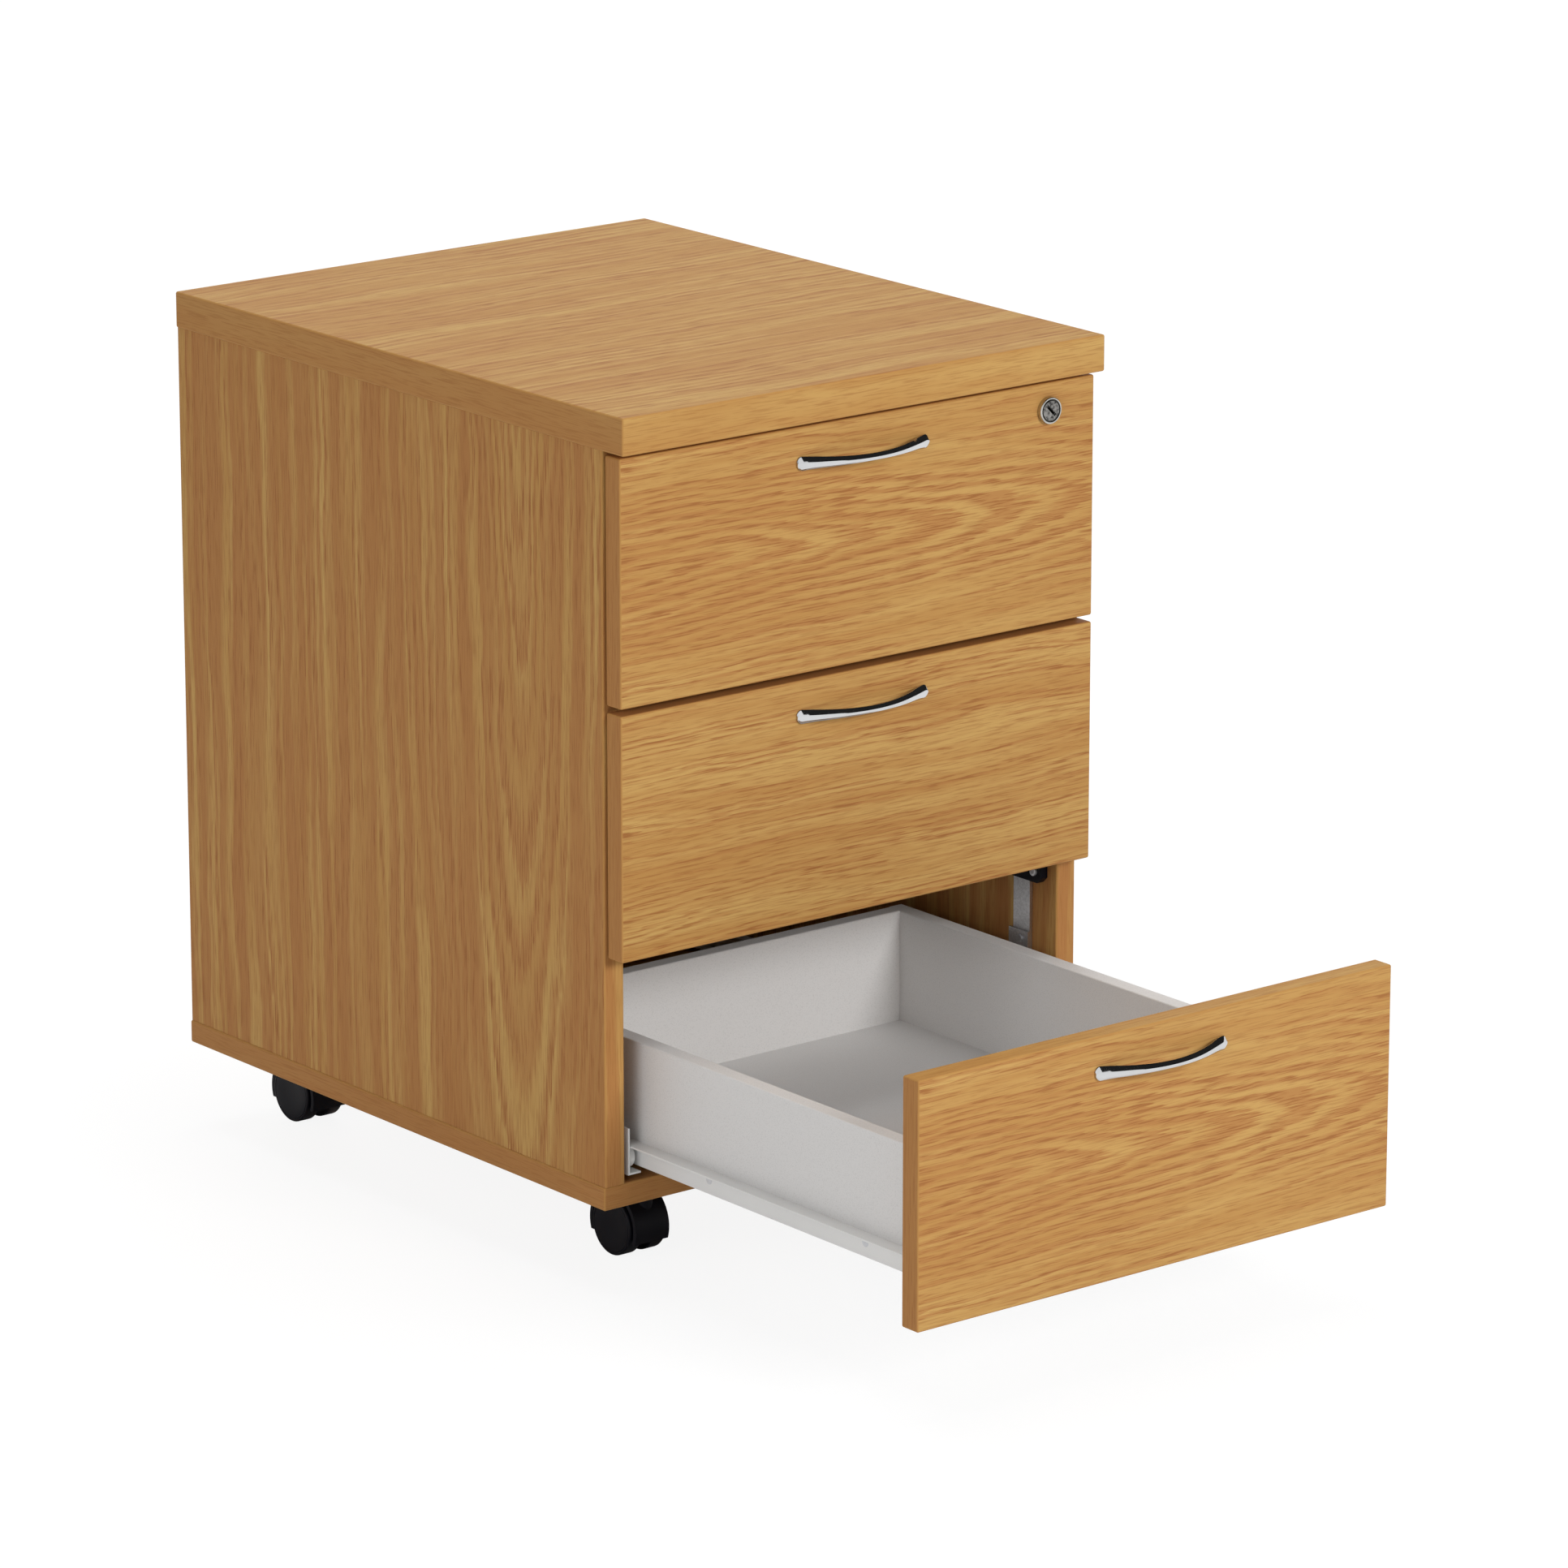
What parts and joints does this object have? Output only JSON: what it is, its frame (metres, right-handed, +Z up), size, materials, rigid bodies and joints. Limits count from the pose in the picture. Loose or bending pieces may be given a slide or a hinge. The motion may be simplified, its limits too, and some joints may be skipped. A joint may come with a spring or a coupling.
{
  "type": "mobile drawer pedestal",
  "caption": "Oak-effect mobile desk pedestal with lockable drawers on roller runners, bow handles and hooded castors.",
  "frame": {"origin": "on the floor, under the middle of the bounding box with the bottom drawer pulled out", "axes": "+Z up, -Y out of the front, +X to the right as seen from the front"},
  "size_m": [0.404, 0.8094, 0.595],
  "materials": {
    "oak_board": "satin oak-effect melamine with matching edging",
    "drawer_board": "pale grey foil, satin",
    "white_steel": "white epoxy coating",
    "zinc_steel": "bright zinc plating",
    "chrome": "polished",
    "nickel": "satin nickel",
    "black_nylon": "satin moulded",
    "white_nylon": "satin moulded"
  },
  "bodies": {
    "carcass": {"top_panel": "oak_board", "base_panel": "oak_board", "left_side_panel": "oak_board", "right_side_panel": "oak_board", "back_panel": "oak_board", "bottom_cabinet_runners": "white_steel", "middle_cabinet_runners": "white_steel", "top_cabinet_runners": "white_steel", "runner_packers": "white_nylon", "carcass_fasteners": "zinc_steel", "lock_bar_guides": "black_nylon", "castor_plates": "zinc_steel"},
    "bottom_drawer": {"bottom_front": "oak_board", "bottom_left_wall": "drawer_board", "bottom_right_wall": "drawer_board", "bottom_back_wall": "drawer_board", "bottom_bottom_board": "drawer_board", "bottom_handle": "chrome", "bottom_runners": "white_steel", "bottom_lock_catch": "zinc_steel", "bottom_screws": "zinc_steel"},
    "bottom_front_rollers": {"bottom_front_rollers": "white_nylon"},
    "bottom_rear_rollers": {"bottom_rear_rollers": "white_nylon"},
    "middle_drawer": {"middle_front": "oak_board", "middle_left_wall": "drawer_board", "middle_right_wall": "drawer_board", "middle_back_wall": "drawer_board", "middle_bottom_board": "drawer_board", "middle_handle": "chrome", "middle_runners": "white_steel", "middle_lock_catch": "zinc_steel", "middle_screws": "zinc_steel"},
    "middle_front_rollers": {"middle_front_rollers": "white_nylon"},
    "middle_rear_rollers": {"middle_rear_rollers": "white_nylon"},
    "top_drawer": {"top_front": "oak_board", "top_left_wall": "drawer_board", "top_right_wall": "drawer_board", "top_back_wall": "drawer_board", "top_bottom_board": "drawer_board", "top_handle": "chrome", "top_runners": "white_steel", "top_lock_catch": "zinc_steel", "top_screws": "zinc_steel", "lock_housing": "nickel"},
    "top_front_rollers": {"top_front_rollers": "white_nylon"},
    "top_rear_rollers": {"top_rear_rollers": "white_nylon"},
    "lock_plug": {"lock_plug": "nickel"},
    "lock_bar": {"lock_bar": "zinc_steel"},
    "front_left_castor": {"front_left_castor_hood": "black_nylon"},
    "front_left_wheel_a": {"front_left_wheel_a": "black_nylon"},
    "front_left_wheel_b": {"front_left_wheel_b": "black_nylon"},
    "front_right_castor": {"front_right_castor_hood": "black_nylon"},
    "front_right_wheel_a": {"front_right_wheel_a": "black_nylon"},
    "front_right_wheel_b": {"front_right_wheel_b": "black_nylon"},
    "back_left_castor": {"back_left_castor_hood": "black_nylon"},
    "back_left_wheel_a": {"back_left_wheel_a": "black_nylon"},
    "back_left_wheel_b": {"back_left_wheel_b": "black_nylon"},
    "back_right_castor": {"back_right_castor_hood": "black_nylon"},
    "back_right_wheel_a": {"back_right_wheel_a": "black_nylon"},
    "back_right_wheel_b": {"back_right_wheel_b": "black_nylon"}
  },
  "joints": [
    {"name": "bottom_drawer_slide", "type": "slide", "parent": "carcass", "child": "bottom_drawer", "axis": [0, -1, 0], "range_m": [-0.3, 0.04]},
    {"name": "bottom_front_rollers_turn", "type": "hinge", "parent": "carcass", "child": "bottom_front_rollers", "pos_m": [0, -0.05835, 0.0905], "axis": [1, 0, 0], "continuous": true},
    {"name": "bottom_rear_rollers_turn", "type": "hinge", "parent": "bottom_drawer", "child": "bottom_rear_rollers", "pos_m": [0, 0.06185, 0.0895], "axis": [1, 0, 0], "continuous": true},
    {"name": "middle_drawer_slide", "type": "slide", "parent": "carcass", "child": "middle_drawer", "axis": [0, -1, 0], "range_m": [0, 0.34]},
    {"name": "middle_front_rollers_turn", "type": "hinge", "parent": "carcass", "child": "middle_front_rollers", "pos_m": [0, -0.05835, 0.26], "axis": [1, 0, 0], "continuous": true},
    {"name": "middle_rear_rollers_turn", "type": "hinge", "parent": "middle_drawer", "child": "middle_rear_rollers", "pos_m": [0, 0.36185, 0.259], "axis": [1, 0, 0], "continuous": true},
    {"name": "top_drawer_slide", "type": "slide", "parent": "carcass", "child": "top_drawer", "axis": [0, -1, 0], "range_m": [0, 0.34]},
    {"name": "top_front_rollers_turn", "type": "hinge", "parent": "carcass", "child": "top_front_rollers", "pos_m": [0, -0.05835, 0.4295], "axis": [1, 0, 0], "continuous": true},
    {"name": "top_rear_rollers_turn", "type": "hinge", "parent": "top_drawer", "child": "top_rear_rollers", "pos_m": [0, 0.36185, 0.4285], "axis": [1, 0, 0], "continuous": true},
    {"name": "lock_plug_turn", "type": "hinge", "parent": "top_drawer", "child": "lock_plug", "pos_m": [0.1585, -0.08815, 0.5486], "axis": [0, -1, 0], "range_deg": [0, 92]},
    {"name": "lock_bar_slide", "type": "slide", "parent": "carcass", "child": "lock_bar", "axis": [0, 0, 1], "range_m": [0, 0.0099]},
    {"name": "front_left_castor_swivel", "type": "hinge", "parent": "carcass", "child": "front_left_castor", "pos_m": [-0.1295, -0.01785, 0.05], "axis": [0, 0, 1], "continuous": true},
    {"name": "front_left_wheel_a_turn", "type": "hinge", "parent": "front_left_castor", "child": "front_left_wheel_a", "pos_m": [-0.1395, -0.00335, 0.0205], "axis": [1, 0, 0], "continuous": true},
    {"name": "front_left_wheel_b_turn", "type": "hinge", "parent": "front_left_castor", "child": "front_left_wheel_b", "pos_m": [-0.1195, -0.00335, 0.0205], "axis": [1, 0, 0], "continuous": true},
    {"name": "front_right_castor_swivel", "type": "hinge", "parent": "carcass", "child": "front_right_castor", "pos_m": [0.1295, -0.01785, 0.05], "axis": [0, 0, 1], "continuous": true},
    {"name": "front_right_wheel_a_turn", "type": "hinge", "parent": "front_right_castor", "child": "front_right_wheel_a", "pos_m": [0.1195, -0.00335, 0.0205], "axis": [1, 0, 0], "continuous": true},
    {"name": "front_right_wheel_b_turn", "type": "hinge", "parent": "front_right_castor", "child": "front_right_wheel_b", "pos_m": [0.1395, -0.00335, 0.0205], "axis": [1, 0, 0], "continuous": true},
    {"name": "back_left_castor_swivel", "type": "hinge", "parent": "carcass", "child": "back_left_castor", "pos_m": [-0.1295, 0.35115, 0.05], "axis": [0, 0, 1], "continuous": true},
    {"name": "back_left_wheel_a_turn", "type": "hinge", "parent": "back_left_castor", "child": "back_left_wheel_a", "pos_m": [-0.1395, 0.36565, 0.0205], "axis": [1, 0, 0], "continuous": true},
    {"name": "back_left_wheel_b_turn", "type": "hinge", "parent": "back_left_castor", "child": "back_left_wheel_b", "pos_m": [-0.1195, 0.36565, 0.0205], "axis": [1, 0, 0], "continuous": true},
    {"name": "back_right_castor_swivel", "type": "hinge", "parent": "carcass", "child": "back_right_castor", "pos_m": [0.1295, 0.35115, 0.05], "axis": [0, 0, 1], "continuous": true},
    {"name": "back_right_wheel_a_turn", "type": "hinge", "parent": "back_right_castor", "child": "back_right_wheel_a", "pos_m": [0.1195, 0.36565, 0.0205], "axis": [1, 0, 0], "continuous": true},
    {"name": "back_right_wheel_b_turn", "type": "hinge", "parent": "back_right_castor", "child": "back_right_wheel_b", "pos_m": [0.1395, 0.36565, 0.0205], "axis": [1, 0, 0], "continuous": true}
  ],
  "couplings": [
    {"joint": "bottom_front_rollers_turn", "follows": "bottom_drawer_slide", "rad_per_m": 121.95},
    {"joint": "bottom_rear_rollers_turn", "follows": "bottom_drawer_slide", "rad_per_m": 133.33},
    {"joint": "middle_front_rollers_turn", "follows": "middle_drawer_slide", "rad_per_m": 121.95},
    {"joint": "middle_rear_rollers_turn", "follows": "middle_drawer_slide", "rad_per_m": 133.33},
    {"joint": "top_front_rollers_turn", "follows": "top_drawer_slide", "rad_per_m": 121.95},
    {"joint": "top_rear_rollers_turn", "follows": "top_drawer_slide", "rad_per_m": 133.33},
    {"joint": "lock_plug_turn", "follows": "lock_bar_slide", "rad_per_m": 158.67}
  ]
}
